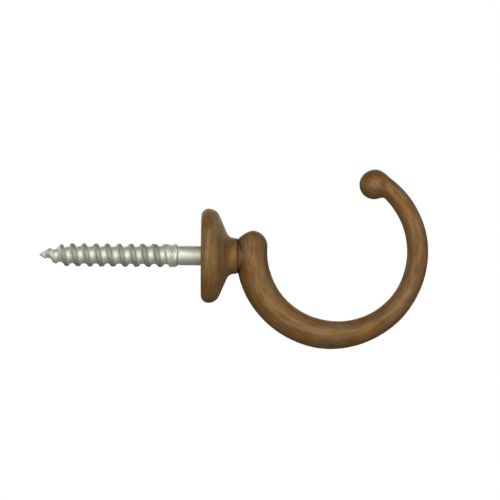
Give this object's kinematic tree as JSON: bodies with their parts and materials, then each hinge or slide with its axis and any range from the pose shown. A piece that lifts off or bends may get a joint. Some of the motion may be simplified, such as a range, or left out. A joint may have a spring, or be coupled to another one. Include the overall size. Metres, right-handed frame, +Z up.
{
  "type": "screw-in wall hook",
  "caption": "Screw-in wall hook: tapering round arm bent to an open ring with a ball tip, a domed rosette with a narrow neck, and a steel screw that holds both to a wall.",
  "frame": {"origin": "centre of the rosette's back face, where the screw passes through it, on the wall plane", "axes": "+X along the screw's axis and out of the wall, +Z up towards the hook's mouth, the arm bends in the XZ plane"},
  "size_m": [0.0997, 0.0242, 0.046],
  "materials": {
    "antique_bronze": "brushed antique bronze under clear lacquer",
    "zinc_plated_steel": "satin zinc plating"
  },
  "bodies": {
    "screw": {"hanger_screw": "zinc_plated_steel"},
    "rosette": {"rosette": "antique_bronze"},
    "hook": {"hook_arm": "antique_bronze"}
  },
  "joints": [
    {"name": "rosette_slide", "type": "slide", "parent": "screw", "child": "rosette", "axis": [1, 0, 0], "range_m": [0, 0.0088]},
    {"name": "hook_unscrew", "type": "hinge", "parent": "rosette", "child": "hook", "pos_m": [0.0092, 0, 0], "axis": [1, 0, 0], "range_deg": [0, 3960]}
  ],
  "couplings": [
    {"joint": "rosette_slide", "follows": "hook_unscrew", "m_per_rad": 0.00012732}
  ]
}
